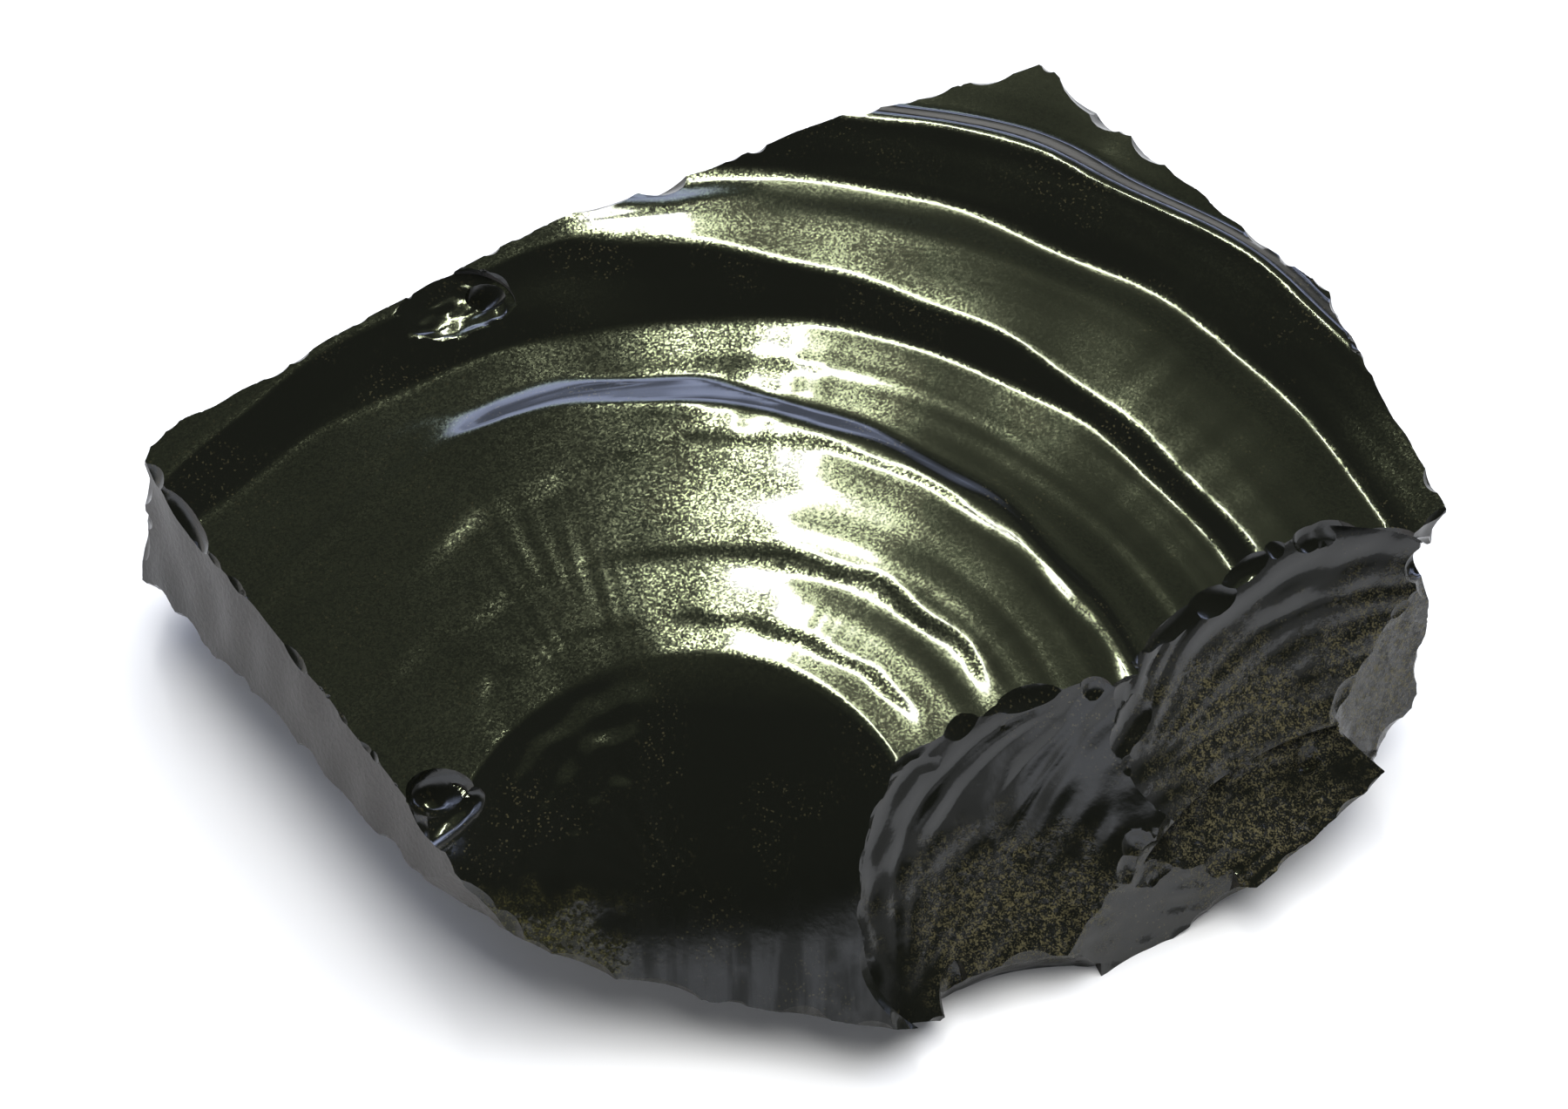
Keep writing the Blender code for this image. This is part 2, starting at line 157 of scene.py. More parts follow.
class MainFaceShape(bpy.types.PropertyGroup):
    """The rippled main face: a low dome on a tilted plane, its ring centre and its rolled front."""

    height: FloatProperty(name="Height", description="Height of the mean plane over the middle, mm", default=21.0)
    rise_back: FloatProperty(name="Rise to the back", description="Rise in mm per mm", default=0.192)
    rise_right: FloatProperty(name="Rise to the right", description="Rise in mm per mm", default=0.064)
    fall: FloatProperty(name="Fall", description="Degrees that the dome falls from the ring centre", default=3.0)
    crown: FloatProperty(name="Crown", description="Radius where the dome has its full slope, mm", default=16.0)
    centre: FloatVectorProperty(name="Ring centre", description="Plan position in mm", size=2, default=(-7.0, -28.5))
    bulb_radius: FloatProperty(name="Bulb radius", description="Where the face starts to roll over, mm", default=16.0)
    bulb_slope: FloatProperty(name="Bulb slope", description="Slope where the roll begins, degrees", default=9.0)
    bulb_curve: FloatProperty(name="Bulb curve", description="Degrees more for each mm forward", default=1.1)
    brow_start: FloatProperty(name="Brow start", description="Depth where the front rounds over, mm", default=-27.0)
    brow_curve: FloatProperty(name="Brow curve", description="Further drop for each square mm, mm", default=0.078)
    softness: FloatProperty(name="Ring softness", description="Width of a band's soft edge, mm", default=0.8)
    wobble: FloatProperty(name="Ring wobble", description="How far rings stray from circles, mm", default=0.4)
    fray: FloatProperty(name="Fray", description="How far a band's edges wander, mm", default=0.35)
    settle: FloatProperty(name="Settle", description="Distance over which a band's height dies away, mm", default=7.0)
    streaks: FloatProperty(name="Streaks", description="Lean of the fine ripples between the bands, degrees",
                           default=1.0)
    hackles: FloatProperty(name="Hackles", description="Height of the fine lines across the rings, mm", default=0.010)
    ring_step: FloatProperty(name="Ring step", description="Radial distance between mesh rings, mm", default=0.40)
    sectors: IntProperty(name="Sectors", description="Mesh sectors around the ring centre", default=540, min=20)


class EdgeWear(bpy.types.PropertyGroup):
    """Small flakes nicked from the arrises."""

    seed: IntProperty(name="Seed", description="Which set of flakes is drawn", default=7)
    count: IntProperty(name="Flakes", description="How many flakes are struck off", default=1000, min=0)
    smallest: FloatProperty(name="Smallest", description="Radius of the smallest flake, mm", default=0.18)
    largest: FloatProperty(name="Largest", description="Radius of the largest flake, mm", default=2.8)


class GlassFinish(bpy.types.PropertyGroup):
    """Colours and gloss of the volcanic glass."""

    glass: FloatVectorProperty(name="Glass", description="Colour of the clear black glass", subtype="COLOR", size=3,
                               default=(0.006, 0.0065, 0.0045), min=0.0, max=1.0)
    sheen: FloatVectorProperty(name="Sheen", description="Colour of the golden sheen", subtype="COLOR", size=3,
                               default=(0.100, 0.110, 0.066), min=0.0, max=1.0)
    fleck: FloatVectorProperty(name="Flecks", description="Colour of the flecks in the scars", subtype="COLOR",
                               size=3, default=(0.115, 0.100, 0.048), min=0.0, max=1.0)
    # Painted light: a warm tone where the glass is thin, standing in for light shining through it.
    painted_glow: FloatVectorProperty(name="Thin edge", description="Colour where the glass is thin", subtype="COLOR",
                              size=3, default=(0.085, 0.078, 0.026), min=0.0, max=1.0)
    rind: FloatVectorProperty(name="Rind", description="Colour of the weathered sides", subtype="COLOR", size=3,
                              default=(0.050, 0.046, 0.042), min=0.0, max=1.0)
    sheen_strength: FloatProperty(name="Sheen strength", description="How metallic the sheen is", default=0.90,
                                  min=0.0, max=1.0)
    sheen_roughness: FloatProperty(name="Sheen roughness", description="Spread of the golden sheen", default=0.125,
                                   min=0.0, max=1.0)
    shard: FloatProperty(name="Shard size", description="Width of the splinters in the scars, mm", default=0.28)
    shard_tilt: FloatProperty(name="Shard tilt", description="How far the splinters lean", default=0.32)
    grain: FloatProperty(name="Grain size", description="Width of a grain of the sheen, mm", default=0.13)
    grain_tilt: FloatProperty(name="Grain tilt", description="How far grains lean from the layer", default=0.04)


class StudioLook(bpy.types.PropertyGroup):
    """Table, lamp and camera."""

    table: FloatVectorProperty(name="Table", description="Colour of the table", subtype="COLOR", size=3,
                               default=(0.86, 0.86, 0.85), min=0.0, max=1.0)
    lamp_power: FloatProperty(name="Lamp power", description="Power of the strip lamp, watts", default=1.9)
    lamp_bearing: FloatProperty(name="Lamp bearing", description="Bearing of the strip lamp, clockwise from the back",
                                subtype="ANGLE", default=math.radians(-11.0))
    lamp_elevation: FloatProperty(name="Lamp elevation", description="Height angle of the middle of the strip lamp",
                                  subtype="ANGLE", default=math.radians(63.0))
    fill_power: FloatProperty(name="Fill power", description="Power of the broad soft lamp, watts", default=58.0)
    lens: FloatProperty(name="Lens", description="Focal length of the camera, mm", default=100.0)
    elevation: FloatProperty(name="Elevation", description="Camera's height angle over the table", subtype="ANGLE",
                             default=math.radians(48.0))
    distance: FloatProperty(name="Distance", description="Camera's distance from its aim", unit="LENGTH",
                            default=0.317)


def smooth_step(low, high, value):
    """Rise from 0 at low to 1 at high, flat at both ends; works on numbers and arrays."""
    t = np.clip((value - low) / (high - low), 0.0, 1.0)
    return t * t * (3.0 - 2.0 * t)


def strands(seed, along, across, u, v, count=9):
    """Streaky noise between about -1 and 1 whose waves are long in u and short in v."""
    source = random.Random(seed)
    total = 0.0
    for _ in range(count):
        turn_u = 2.0 * math.pi * source.uniform(-1.0, 1.0) / along
        turn_v = 2.0 * math.pi * source.uniform(0.4, 1.2) / across
        total = total + np.sin(turn_u * u + turn_v * v + source.uniform(0.0, 2.0 * math.pi))
    return total * math.sqrt(2.0 / count) / 1.6


def ring_slopes(bearings, radii, shape):
    """Lean of the main face in degrees, as a table with a row for each bearing and a column for each radius."""
    arcs = np.radians(bearings)[:, None] * radii[None, :]
    slopes = np.repeat(-shape.fall * smooth_step(0.0, shape.crown, radii)[None, :], len(bearings), axis=0)
    wander = np.radians(bearings)[:, None] * 40.0
    for index, (slope, stops) in enumerate(RING_BANDS):
        angles, inner, outer = (np.array(column, float) for column in zip(*stops))
        first, last = angles[0], angles[-1]
        strength = smooth_step(first - RING_FADE, first, bearings) * (1 - smooth_step(last, last + RING_FADE, bearings))
        fray = shape.fray * strands(index, 9.0, 12.0, radii[None, :], wander)
        near = np.interp(bearings, angles, inner)[:, None] + fray
        far = np.interp(bearings, angles, outer)[:, None] + fray
        rise = smooth_step(near - shape.softness / 2, near + shape.softness / 2, radii[None, :])
        fall = smooth_step(far - shape.softness / 2, far + shape.softness / 2, radii[None, :])
        slopes += slope * strength[:, None] * (rise - fall)
    fine = strands(101, 60.0, 2.2, arcs, radii[None, :], 14) + 0.6 * strands(102, 26.0, 1.2, arcs, radii[None, :], 14)
    patches = smooth_step(-0.4, 0.8, strands(103, 30.0, 16.0, arcs, radii[None, :]))
    patches = patches + 0.35 + 1.3 * smooth_step(33.5, 35.5, radii) * (1 - smooth_step(41.0, 43.0, radii))
    return slopes + shape.streaks * fine * patches * smooth_step(2.0, 10.0, radii[None, :])


def bulb_drop(x, y, shape):
    """How far the main face has rolled down towards the front edge, in mm."""
    across = x - shape.centre[0]
    back = shape.centre[1] + np.sqrt(np.maximum(shape.bulb_radius ** 2 - across ** 2, 0.0))
    forward = np.maximum(back - y, 0.0)
    brow = np.maximum(shape.brow_start - y, 0.0)
    roll = math.tan(math.radians(shape.bulb_slope)) * forward
    return roll + 0.5 * math.radians(shape.bulb_curve) * forward ** 2 + shape.brow_curve * brow ** 2


def turned_disc(reach, top, sectors, step):
    """bmesh of a disc turned about +Z, with a ring every step on its flat underside, in mm."""
    rings = max(6, round(reach / step))
    profile = [(0.0, top), (reach, top)]
    profile += [(reach * index / rings, 0.0) for index in range(rings, -1, -1)]
    turned = bmesh.new()
    points = [turned.verts.new((radius, 0.0, height)) for radius, height in profile]
    edges = [turned.edges.new(pair) for pair in zip(points, points[1:])]
    wedge = 2.0 * math.pi / WEDGES
    bmesh.ops.spin(turned, geom=points + edges, cent=(0, 0, 0), axis=(0, 0, 1), angle=wedge,
                   steps=sectors // WEDGES)
    bmesh.ops.spin(turned, geom=turned.verts[:] + turned.edges[:] + turned.faces[:], cent=(0, 0, 0), axis=(0, 0, 1),
                   angle=wedge * (WEDGES - 1), steps=WEDGES - 1, use_duplicate=True)
    bmesh.ops.remove_doubles(turned, verts=turned.verts, dist=1e-3)
    bmesh.ops.recalc_face_normals(turned, faces=turned.faces)
    return turned


def mesh_object(name, shape):
    """Object that takes over a bmesh."""
    mesh = bpy.data.meshes.new(name)
    shape.to_mesh(mesh)
    shape.free()
    item = bpy.data.objects.new(name, mesh)
    bpy.context.scene.collection.objects.link(item)
    return item


def carved_cutter(name, disc, carve, place):
    """Cutter whose flat underside takes the x, y and z that carve gives for its points, then goes to its place."""
    cutter = mesh_object(name, disc)
    mesh = cutter.data
    points = np.empty(len(mesh.vertices) * 3, np.float32)
    mesh.vertices.foreach_get("co", points)
    points = points.reshape(-1, 3).astype(float)
    under = points[:, 2] < 1.0
    points[under] = np.stack(carve(points[under, 0], points[under, 1]), axis=1)
    mesh.vertices.foreach_set("co", points.astype(np.float32).ravel())
    mesh.transform(Matrix.Scale(MM, 4) @ place)
    mesh.update()
    return cutter


def main_face_cutter(shape):
    """Cutter above the main face: a turned disc whose underside takes the rings and the rolled front."""
    disc = turned_disc(MAIN_REACH, MAIN_TOP, shape.sectors, shape.ring_step)
    columns = max(6, round(MAIN_REACH / shape.ring_step)) + 1
    radii = np.linspace(0.0, MAIN_REACH, columns)
    step = radii[1]
    turns = np.arange(shape.sectors + 1) * 360.0 / shape.sectors - 180.0
    climbs = np.tan(np.radians(ring_slopes(turns, radii, shape))) * step
    climbed = np.cumsum(climbs, axis=1) - climbs / 2
    climbed -= climbed[:, :1]
    middle_rows = (turns > -30.0) & (turns < 60.0)
    offset = climbed - climbed[middle_rows].mean(axis=0)
    reach = round(shape.settle / step)
    padded = np.pad(offset, ((0, 0), (reach, reach)), mode="edge").cumsum(axis=1)
    climbed -= (padded[:, 2 * reach:] - padded[:, :-2 * reach]) / (2 * reach)

    def carve(x, y):
        radius = np.hypot(x, y)
        bearing = np.arctan2(x, y)
        row = np.rint((np.degrees(bearing) + 180.0) * shape.sectors / 360.0).astype(int)
        column = np.rint(radius / step).astype(int)
        stray = shape.wobble * np.sin(3.0 * bearing + 0.21 * radius) * smooth_step(4.0, 30.0, radius)
        x = shape.centre[0] + (radius + stray) * np.sin(bearing)
        y = shape.centre[1] + (radius + stray) * np.cos(bearing)
        plane = shape.height + shape.rise_back * y + shape.rise_right * x
        lines = strands(201, 16.0, 1.5, radius, bearing * 24.0, 16) * smooth_step(15.0, 27.0, radius)
        lines = lines * smooth_step(0.0, 1.0, strands(202, 30.0, 22.0, radius, bearing * 30.0))
        drapes = strands(203, 30.0, 3.0, radius, bearing * 9.0, 16) * smooth_step(2.0, 6.0, radius)
        lines = lines + 2.5 * drapes * (1 - smooth_step(-31.0, -28.0, y))
        return x, y, plane + climbed[row, column] - bulb_drop(x, y, shape) + shape.hackles * lines

    return carved_cutter("main_face", disc, carve, Matrix.Identity(4))


def fracture_cutter(fracture, sectors, step, top):
    """Cutter of one fracture, with its axis along the way that the surface faces."""
    disc = turned_disc(fracture.reach, top, sectors, step)
    bearing, lift = math.radians(fracture.bearing), math.radians(fracture.lift)
    facing = Vector((math.cos(lift) * math.cos(bearing), math.cos(lift) * math.sin(bearing), math.sin(lift)))
    turn = facing.to_track_quat("Z", "Y").to_matrix().to_4x4()
    lean = Matrix.Rotation(math.radians(fracture.lean), 4, "Z")
    stretch = Matrix.Diagonal((fracture.oval, 1.0, 1.0, 1.0))

    seed = sum(map(ord, fracture.name))
    lump_scale = max(fracture.reach, 35.0)

    def carve(x, y):
        share = np.hypot(x, y) / fracture.reach
        across, up = x * fracture.oval - fracture.struck[0], y - fracture.struck[1]
        ring = np.hypot(across, up)
        open_ground = 1.0
        if fracture.tips:
            open_ground = smooth_step(1.0, 7.0, np.hypot(np.abs(across) - fracture.tips, up))
            bulge = (ring ** 2 - fracture.tips ** 2) / np.where(np.abs(up) < 0.05, 0.05, up)
            ring = (bulge + np.sign(up) * np.sqrt(bulge ** 2 + 4.0 * fracture.tips ** 2)) / 2
        turn = 2.0 * math.pi * (ring / fracture.spacing + 0.10 * strands(301, 14.0, 9.0, across, up))
        turn = turn + 0.9 * np.sin(turn * 0.37)
        wave = 2.0 * np.sqrt(np.sin(turn / 2) ** 2 + 0.02) - 1.2
        wave = wave + 0.6 * np.cos(turn / 2.3)
        fine = 0.08 * np.cos(3.2 * turn + 1.0)
        patches = 0.15 + 0.85 * smooth_step(-4.0, 1.5, ring)
        swell = 0.006 * strands(seed + 1, 0.4, 0.25, x / fracture.reach, y / fracture.reach)
        lumps = 0.0016 * strands(seed + 2, 0.10 * lump_scale, 0.07 * lump_scale, y, x)
        depth = -fracture.bowl * (1.0 - share ** 2) + fracture.reach * (swell + lumps)
        return x, y, depth + fracture.ripple * share * open_ground * patches * (wave + fine)

    return carved_cutter(fracture.name, disc, carve,
                         Matrix.Translation(Vector(fracture.middle)) @ turn @ lean @ stretch)


def bake_modifiers(item):
    """Replace an object's mesh by the shape that its modifiers give it."""
    bpy.context.view_layer.update()
    graph = bpy.context.evaluated_depsgraph_get()
    shaped = bpy.data.meshes.new_from_object(item.evaluated_get(graph))
    old = item.data
    item.modifiers.clear()
    item.data = shaped
    shaped.name = item.name
    bpy.data.meshes.remove(old)


def cut(item, cutter):
    """Take a closed cutter away from an object and remove the cutter."""
    boolean = item.modifiers.new(cutter.name, "BOOLEAN")
    boolean.operation = "DIFFERENCE"
    boolean.solver = "MANIFOLD"
    boolean.object = cutter
    bake_modifiers(item)
    mesh = cutter.data
    bpy.data.objects.remove(cutter, do_unlink=True)
    bpy.data.meshes.remove(mesh)


def raw_block():
    """The block before any fracture, standing on its flat underside."""
    block = bmesh.new()
    bmesh.ops.create_cube(block, size=1.0)
    bmesh.ops.scale(block, vec=Vector(BLOCK_SIZE) * MM, verts=block.verts)
    bmesh.ops.translate(block, vec=(0.0, 0.0, BLOCK_SIZE[2] * MM / 2), verts=block.verts)
    return mesh_object("obsidian_surface", block)


def arris_points(mesh, sharpness, clearance):
    """Length, midpoint and facing direction of each sharp edge that stands clear of the table."""
    shape = bmesh.new()
    shape.from_mesh(mesh)
    found = []
    for edge in shape.edges:
        if len(edge.link_faces) != 2 or edge.calc_face_angle_signed() < sharpness:
            continue
        middle = (edge.verts[0].co + edge.verts[1].co) / 2
        if middle.z > clearance:
            facing = (edge.link_faces[0].normal + edge.link_faces[1].normal).normalized()
            found.append((edge.calc_length(), middle.copy(), facing))
    shape.free()
    return found


def nick_arrises(chunk, wear):
    """Nick small flakes out of the arrises, in batches of flakes that don't touch one another."""
    source = random.Random(wear.seed)
    arrises = arris_points(chunk.data, math.radians(38.0), 0.6 * MM)
    lengths = [length for length, _, _ in arrises]
    batches = []
    for _, point, facing in source.choices(arrises, weights=lengths, k=wear.count):
        share = source.random() ** 2.8
        size = (wear.smallest + share * (wear.largest - wear.smallest)) * MM
        turn = Matrix.Rotation(source.uniform(0.0, math.pi), 4, facing)
        squash = Matrix.Diagonal((source.uniform(1.0, 1.9), source.uniform(0.8, 1.1), source.uniform(0.6, 0.9), 1.0))
        away = facing * size * source.uniform(0.5, 0.75)
        place = Matrix.Translation(point + away) @ turn @ facing.to_track_quat("Z", "Y").to_matrix().to_4x4() @ squash
        room = 2.0 * size
        for batch in batches:
            if all((point - other).length > room + reach for other, reach, _, _ in batch):
                break
        else:
            batch = []
            batches.append(batch)
        batch.append((point, room, size, place))
    for index, batch in enumerate(batches):
        flakes = bmesh.new()
        for _, _, size, place in batch:
            made = bmesh.ops.create_icosphere(flakes, subdivisions=1 if size < 0.8 * MM else 3, radius=size)
            bmesh.ops.transform(flakes, matrix=place, verts=made["verts"])
        cut(chunk, mesh_object(f"flakes_{index}", flakes))


def keep_largest_body(chunk):
    """Drop the crumbs that the cuts left loose."""
    shape = bmesh.new()
    shape.from_mesh(chunk.data)
    waiting = set(shape.verts)
    bodies = []
    while waiting:
        body = [waiting.pop()]
        for vertex in body:
            near = {edge.other_vert(vertex) for edge in vertex.link_edges} & waiting
            waiting -= near
            body.extend(near)
        bodies.append(body)
    bodies.sort(key=len)
    crumbs = [vertex for body in bodies[:-1] for vertex in body]
    bmesh.ops.delete(shape, geom=crumbs, context="VERTS")
    shape.to_mesh(chunk.data)
    shape.free()


def build_chunk(context):
    """The chunk's visible surface, cut from a raw block one fracture at a time."""
    chunk = raw_block()
    for face in FACES:
        cut(chunk, fracture_cutter(face, sectors=160, step=0.8, top=60.0))
    for scar in SCARS:
        cut(chunk, fracture_cutter(scar, sectors=200 if scar.tips else 140, step=0.27, top=30.0))
    cut(chunk, main_face_cutter(context.scene.obsidian_main_face))
    keep_largest_body(chunk)
    nick_arrises(chunk, context.scene.obsidian_wear)
    keep_largest_body(chunk)
    return chunk


def fit_to_frame(chunk):
    """Stand the chunk over the middle of the CAD solid's box."""
    low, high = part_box(NODE)
    corners = np.array([corner[:] for corner in chunk.bound_box])
    middle = (corners.min(0) + corners.max(0)) / 2
    shift = Vector(((low.x + high.x) / 2 - middle[0], (low.y + high.y) / 2 - middle[1], low.z - corners[:, 2].min()))
    chunk.data.transform(Matrix.Translation(shift))
    return shift


class Wire:
    """A shader socket that adds a Math node for each operation done on it."""

    def __init__(self, graph, socket):
        self.graph = graph
        self.socket = socket

    def _math(self, operation, *inputs):
        return self.graph.add("ShaderNodeMath", {"operation": operation}, *inputs)

    def __add__(self, other):
        return self._math("ADD", self, other)

    def __sub__(self, other):
        return self._math("SUBTRACT", self, other)

    def __mul__(self, other):
        return self._math("MULTIPLY", self, other)

    def __truediv__(self, other):
        return self._math("DIVIDE", self, other)

    def __pow__(self, other):
        return self._math("POWER", self, other)

    def __radd__(self, other):
        return self._math("ADD", other, self)

    def __rsub__(self, other):
        return self._math("SUBTRACT", other, self)

    def __rmul__(self, other):
        return self._math("MULTIPLY", other, self)

    def clip(self):
        return self.graph.add("ShaderNodeClamp", {}, self, 0.0, 1.0)


class Graph:
    """Adds nodes to a material's or a world's tree."""

    def __init__(self, owner):
        owner.use_nodes = True
        self.tree = owner.node_tree
        self.tree.nodes.clear()

    def add(self, kind, settings, *values, out=0, **named):
        """Add a node: settings first, then values or wires for its inputs by order or name."""
        node = self.tree.nodes.new(kind)
        for key, value in settings.items():
            if key == "stops":
                self._ramp(node.color_ramp, value)
            else:
                setattr(node, key, value)
        inputs = [(node.inputs[index], value) for index, value in enumerate(values)]
        inputs += [(node.inputs[key.replace("_", " ")], value) for key, value in named.items()]
        for socket, value in inputs:
            if value is None:
                continue
            if isinstance(value, Wire):
                self.tree.links.new(value.socket, socket)
            else:
                socket.default_value = value
        return Wire(self, node.outputs[out]) if node.outputs else node

    def _ramp(self, ramp, stops):
        while len(ramp.elements) < len(stops):
            ramp.elements.new(1.0)
        for element, (position, colour) in zip(ramp.elements, stops):
            element.position = position
            element.color = colour

    def ease(self, value, low, high):
        """Smooth mask from 0 at low to 1 at high."""
        settings = {"interpolation_type": "SMOOTHSTEP"}
        return self.add("ShaderNodeMapRange", settings, value, low, high, 0.0, 1.0)

    def dot(self, vector, direction):
        """Dot product of a vector with a fixed direction."""
        return self.add("ShaderNodeVectorMath", {"operation": "DOT_PRODUCT"}, vector, tuple(direction), out="Value")

    def most(self, first, second):
        """Greater of two values."""
        return self.add("ShaderNodeMath", {"operation": "MAXIMUM"}, first, second)

    def vector(self, operation, *values, **named):
        """Vector Math node."""
        return self.add("ShaderNodeVectorMath", {"operation": operation}, *values, **named)

    def noise(self, place, scale, detail):
        """Noise between about 0.25 and 0.75, with scale waves for each mm."""
        return self.add("ShaderNodeTexNoise", {}, place, Scale=scale, Detail=detail)

    def zone(self, spot, middle, size, ragged):
        """Soft egg-shaped mask round a middle, its edge roughened by a noise."""
        away = self.vector("DIVIDE", self.vector("SUBTRACT", spot, middle), size)
        away = self.add("ShaderNodeVectorMath", {"operation": "LENGTH"}, away, out="Value")
        return 1.0 - self.ease(away + ragged * 1.6, 1.2, 2.1)

    def blend(self, mask, first, second):
        """Colour mix from first to second by a mask."""
        mix = self.tree.nodes.new("ShaderNodeMix")
        mix.data_type = "RGBA"
        for index, value in ((0, mask), (6, first), (7, second)):
            if isinstance(value, Wire):
                self.tree.links.new(value.socket, mix.inputs[index])
            else:
                mix.inputs[index].default_value = (*value, 1.0) if index else value
        return Wire(self, mix.outputs[2])


def obsidian_material(finish, shift):
    """Clear black glass over a golden sheen that shows where the surface lies along the flow layers."""
    material = bpy.data.materials.new("obsidian")
    graph = Graph(material)
    place = graph.add("ShaderNodeTexCoord", {}, out="Object")
    facing = Wire(graph, place.socket.node.outputs["Normal"])
    spot = graph.vector("SUBTRACT", place, tuple(shift))
    spot = graph.vector("SCALE", spot, Scale=1.0 / MM)
    cloud = graph.noise(spot, 0.14, 3.0)
    grit = graph.noise(spot, 2.2, 4.0)
    fine = graph.noise(spot, 7.0, 2.0)
    blotch = graph.noise(spot, 0.45, 3.0)
    drapes = graph.noise(graph.vector("MULTIPLY", spot, (0.8, 0.10, 0.10)), 1.0, 3.0)

    # The golden sheen lies in one flow layer and dies out where the surface leans away from it.
    along = graph.dot(facing, SHEEN_LAYER.normalized())
    layered = graph.ease(along, math.cos(math.radians(12.0)), math.cos(math.radians(6.5)))
    grain = graph.add("ShaderNodeTexVoronoi", {}, spot, Scale=1.0 / finish.grain, out="Color")
    speckle = graph.dot(grain, (1.0, 0.0, 0.0))
    sheen = (layered * (0.12 + cloud * 0.45 + speckle * 0.75)).clip()
    tilt = graph.vector("SUBTRACT", grain, (0.5, 0.5, 0.5))
    tilt = graph.vector("SCALE", tilt, Scale=finish.grain_tilt)
    normal = graph.vector("NORMALIZE", graph.vector("ADD", facing, tilt))

    # Broken ground in the scars: golden-brown flecks over the dark glass.
    broken = graph.zone(spot, (16.5, -27.5, 7.0), (9.0, 6.0, 6.0), blotch)
    for middle, size in BROKEN_GROUND:
        broken = graph.most(broken, graph.zone(spot, middle, size, blotch))
    steep = 1.0 - graph.ease(along, 0.92, 0.97)
    broken = broken * steep
    fleck = graph.ease(grit * 0.45 + fine * 0.65, 0.53, 0.68)
    # Painted glow near the front-left edge: base colour standing in for light shining through the thin glass.
    painted_glow = graph.zone(spot, (-18.0, -31.5, 7.0), (7.0, 4.0, 5.0), blotch) * steep
    dust = graph.ease(graph.dot(grain, (0.0, 1.0, 0.0)), 0.92, 0.99) * graph.ease(cloud, 0.45, 0.65)

    # Weathered rind on the left and on the hidden sides.
    side = graph.ease(graph.dot(facing, (-0.808, -0.589, 0.0)), 0.75, 0.9)
    behind = graph.ease(graph.dot(facing, (-0.3, 0.95, 0.0)), 0.45, 0.8) * graph.ease(cloud, 0.30, 0.75)
    rind = graph.most(side, behind)
    height = graph.dot(spot, (0.0, 0.0, 1.0))
    rind_tone = 0.40 + 0.6 * graph.ease(height, 5.0, 14.0) + (cloud - 0.5) * 0.9 + (grit - 0.5) * 0.7

    colour = graph.blend(dust * 0.3, tuple(finish.glass), tuple(finish.fleck))
    colour = graph.blend((broken * fleck * 0.7).clip(), colour, tuple(finish.fleck))
    colour = graph.blend((painted_glow * (0.08 + fleck * 0.6)).clip(), colour, tuple(finish.painted_glow))
    colour = graph.blend((rind * rind_tone).clip(), colour, tuple(finish.rind))
    colour = graph.blend((rind * fleck * 0.35).clip(), colour, tuple(finish.glass))
    roughness = (0.06 + steep * 0.09 + rind * 0.35 + broken * 0.12 + (cloud - 0.5) * 0.1).clip()
    rough = broken * (0.25 * grit + fine * 0.7) + rind * (0.7 * grit + 0.3 * cloud) + painted_glow * grit + steep * 0.15 * grit
    shard = graph.add("ShaderNodeTexVoronoi", {}, spot, Scale=1.0 / finish.shard, out="Color")
    lean = graph.vector("SUBTRACT", shard, (0.5, 0.5, 0.5))
    lean = graph.vector("SCALE", lean, Scale=(broken + painted_glow) * finish.shard_tilt)
    shattered = graph.vector("NORMALIZE", graph.vector("ADD", facing, lean))
    bumped = graph.add("ShaderNodeBump", {}, Strength=0.3, Distance=0.25 * MM, Height=rough, Normal=shattered)
    glass = graph.add(
        "ShaderNodeBsdfPrincipled", {}, Base_Color=colour, Roughness=roughness, IOR=1.5, Normal=bumped,
    )
    # Duller, less reflective glass for the broken ground and the rind, and also for the painted glow and the painted
    # shade on the front belly.
    dull = graph.add(
        "ShaderNodeBsdfPrincipled", {}, Base_Color=colour, Roughness=0.4, IOR=1.5, Specular_IOR_Level=0.12,
        Normal=bumped,
    )
    # Painted shade: the front belly's reflection is dulled, in soft streaks, standing in for the shadowed table in
    # front of it.
    painted_belly_shade = graph.zone(spot, (-8.0, -34.0, 6.0), (22.0, 7.0, 9.0), blotch) * steep
    painted_belly_shade = painted_belly_shade * (0.3 + 0.5 * graph.ease(drapes, 0.38, 0.62))
    # Mask of real wear and rind together with painted glow and painted shade.
    wear_and_painted_light = graph.most(graph.most(broken * (0.40 + fleck * 0.5), painted_glow * 0.8), graph.most(painted_belly_shade, rind * 0.6))
    glass = graph.add("ShaderNodeMixShader", {}, wear_and_painted_light.clip(), glass, dull)
    golden = graph.add(
        "ShaderNodeBsdfPrincipled", {}, Base_Color=(*finish.sheen, 1.0), Metallic=finish.sheen_strength,
        Roughness=finish.sheen_roughness, Normal=normal, Specular_IOR_Level=0.0,
        IOR=1.5, Coat_Weight=0.35, Coat_Roughness=0.06, Coat_IOR=1.5,
    )
    sheen = sheen * (1.0 - rind)
    shader = graph.add("ShaderNodeMixShader", {}, sheen, glass, golden)
    graph.add("ShaderNodeOutputMaterial", {}, shader)
    return material


def table_material(look):
    """Plain pale table top."""
    material = bpy.data.materials.new("table")
    graph = Graph(material)
    shader = graph.add("ShaderNodeBsdfPrincipled", {}, Base_Color=(*look.table, 1.0), Roughness=0.7,
                       Specular_IOR_Level=0.2)
    graph.add("ShaderNodeOutputMaterial", {}, shader)
    return material


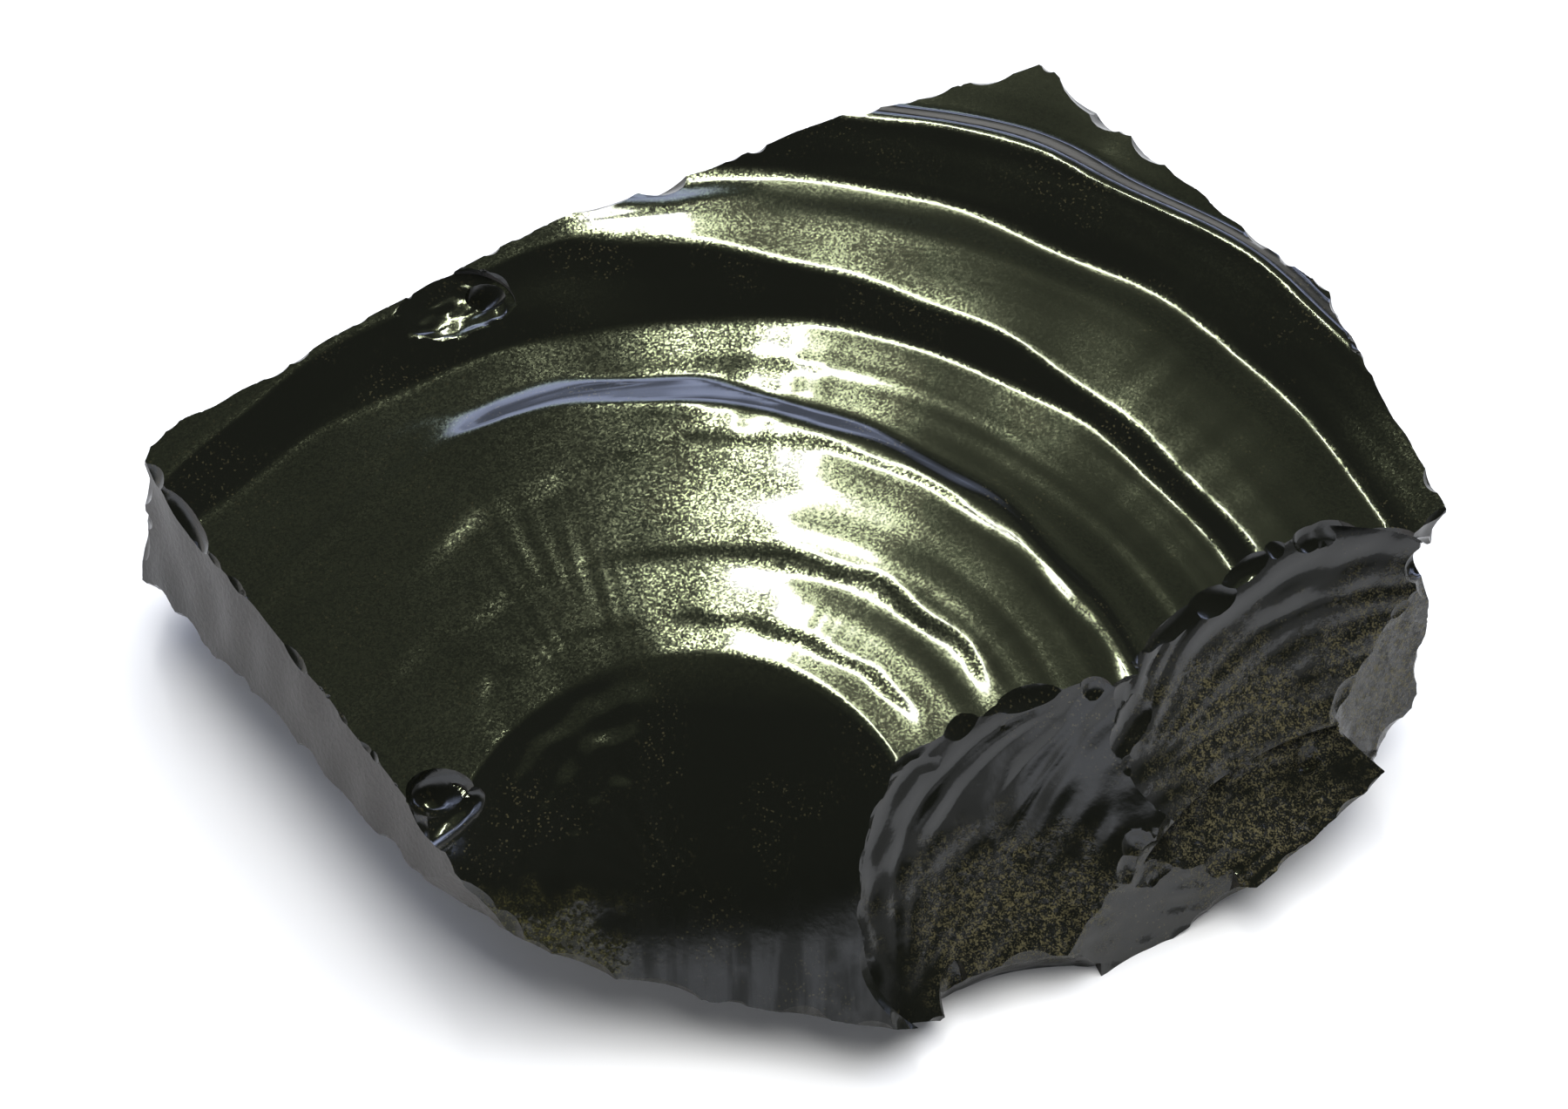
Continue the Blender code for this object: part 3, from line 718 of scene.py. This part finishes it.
def studio_world():
    """Pale room: bright near the horizon, a cool window at the back and a dark ceiling."""
    world = bpy.data.worlds.new("studio")
    bpy.context.scene.world = world
    graph = Graph(world)
    direction = graph.add("ShaderNodeTexCoord", {}, out="Generated")
    up = graph.dot(direction, (0, 0, 1))
    front = graph.dot(direction, (0, -1, 0))
    right = graph.dot(direction, (1, 0, 0))

    def between(start, full, fade, end):
        rise = graph.ease(up, math.sin(math.radians(start)), math.sin(math.radians(full)))
        return rise * (1.0 - graph.ease(up, math.sin(math.radians(fade)), math.sin(math.radians(end))))

    shade = 1.0 - 0.85 * graph.ease(right, 0.25, 0.65)
    colour = graph.blend(between(-4, -2, 10, 27) * shade, (0.02, 0.021, 0.022), (1.4, 1.38, 1.36))
    front_wall = between(-4, -2, 14, 29) * graph.ease(front, 0.0, 0.4) * shade
    colour = graph.blend(front_wall, colour, (1.5, 1.56, 1.72))
    window = between(27, 33, 40, 46) * (1.0 - graph.ease(front, -0.40, -0.05))
    panes = graph.noise(graph.vector("MULTIPLY", direction, (3.0, 3.0, 18.0)), 1.0, 2.0)
    window = window * (0.2 + 0.8 * graph.ease(panes, 0.42, 0.58))
    colour = graph.blend(window, colour, (4.0, 4.6, 6.6))
    background = graph.add("ShaderNodeBackground", {}, colour, 1.0)
    graph.add("ShaderNodeOutputWorld", {}, background)


def soft_lamp(name, bearing, elevation, distance, size, power, aim):
    """Area lamp of a width and a length in a given direction from its aim, bearing clockwise from the back."""
    light = bpy.data.lights.new(name, "AREA")
    light.shape = "RECTANGLE"
    light.size, light.size_y = size
    light.energy = power
    lamp = bpy.data.objects.new(name, light)
    towards = Vector((math.cos(elevation) * math.sin(bearing), math.cos(elevation) * math.cos(bearing),
                      math.sin(elevation)))
    lamp.location = aim + towards * distance
    lamp.rotation_euler = towards.to_track_quat("Z", "Y").to_euler()
    bpy.context.scene.collection.objects.link(lamp)
    return lamp


def table_top(look):
    """Wide table top at the height that the chunk stands on."""
    shape = bmesh.new()
    bmesh.ops.create_grid(shape, x_segments=1, y_segments=1, size=3.0)
    table = mesh_object("table", shape)
    table.data.materials.append(table_material(look))


def camera(look, aim):
    """Camera in front of the chunk, looking down at it."""
    data = bpy.data.cameras.new("camera")
    data.lens = look.lens
    data.sensor_width = 36.0
    data.clip_start = 0.01
    item = bpy.data.objects.new("camera", data)
    back = Vector((0.0, -math.cos(look.elevation), math.sin(look.elevation)))
    item.location = aim + back * look.distance
    item.rotation_euler = back.to_track_quat("Z", "Y").to_euler()
    bpy.context.scene.collection.objects.link(item)
    bpy.context.scene.camera = item


class OBSIDIAN_OT_chunk(bpy.types.Operator):
    """Cut the chunk from a raw block and give it its glass"""

    bl_idname = "obsidian.chunk"
    bl_label = "Obsidian chunk"

    def execute(self, context):
        chunk = build_chunk(context)
        shift = fit_to_frame(chunk)
        context.scene["chunk_shift"] = list(shift)
        chunk.data.shade_smooth()
        chunk.data.set_sharp_from_angle(angle=math.radians(28.0))
        chunk.data.materials.clear()
        chunk.data.materials.append(obsidian_material(context.scene.obsidian_glass, shift))
        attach(chunk, "root")
        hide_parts(NODE)
        return {"FINISHED"}


class OBSIDIAN_OT_stage(bpy.types.Operator):
    """Set the table, the lights and the camera"""

    bl_idname = "obsidian.stage"
    bl_label = "Stage"

    def execute(self, context):
        look = context.scene.obsidian_studio
        aim = Vector((0.0, 0.0, 0.014)) + Vector((*list(context.scene["chunk_shift"])[:2], 0.0))
        table_top(look)
        studio_world()
        soft_lamp("strip", look.lamp_bearing, look.lamp_elevation, 1.2, (0.03, 0.42), look.lamp_power, aim)
        fill = soft_lamp("fill", math.radians(40.0), math.radians(70.0), 1.6, (2.4, 2.4), look.fill_power, aim)
        fill.visible_glossy = False
        camera(look, aim)
        context.scene.view_settings.view_transform = "Standard"
        return {"FINISHED"}


class OBSIDIAN_PT_panel(bpy.types.Panel):
    """Sidebar panel with the sizes, the finish and the build buttons"""

    bl_label = "Obsidian Chunk"
    bl_idname = "OBSIDIAN_PT_panel"
    bl_space_type = "VIEW_3D"
    bl_region_type = "UI"
    bl_category = "Obsidian"

    def draw(self, context):
        for key in GROUPS:
            box = self.layout.box()
            group = getattr(context.scene, key)
            for name in group.bl_rna.properties.keys():
                if name not in {"rna_type", "name"}:
                    box.prop(group, name)
        self.layout.operator(OBSIDIAN_OT_chunk.bl_idname)
        self.layout.operator(OBSIDIAN_OT_stage.bl_idname)


GROUPS = {
    "obsidian_main_face": MainFaceShape,
    "obsidian_wear": EdgeWear,
    "obsidian_glass": GlassFinish,
    "obsidian_studio": StudioLook,
}
CLASSES = (*GROUPS.values(), OBSIDIAN_OT_chunk, OBSIDIAN_OT_stage, OBSIDIAN_PT_panel)


def register():
    for item in CLASSES:
        bpy.utils.register_class(item)
    for key, group in GROUPS.items():
        setattr(bpy.types.Scene, key, PointerProperty(type=group))


def unregister():
    for key in GROUPS:
        delattr(bpy.types.Scene, key)
    for item in reversed(CLASSES):
        bpy.utils.unregister_class(item)


def main():
    register()
    bpy.ops.obsidian.chunk()
    bpy.ops.obsidian.stage()


if __name__ == "__main__":
    main()
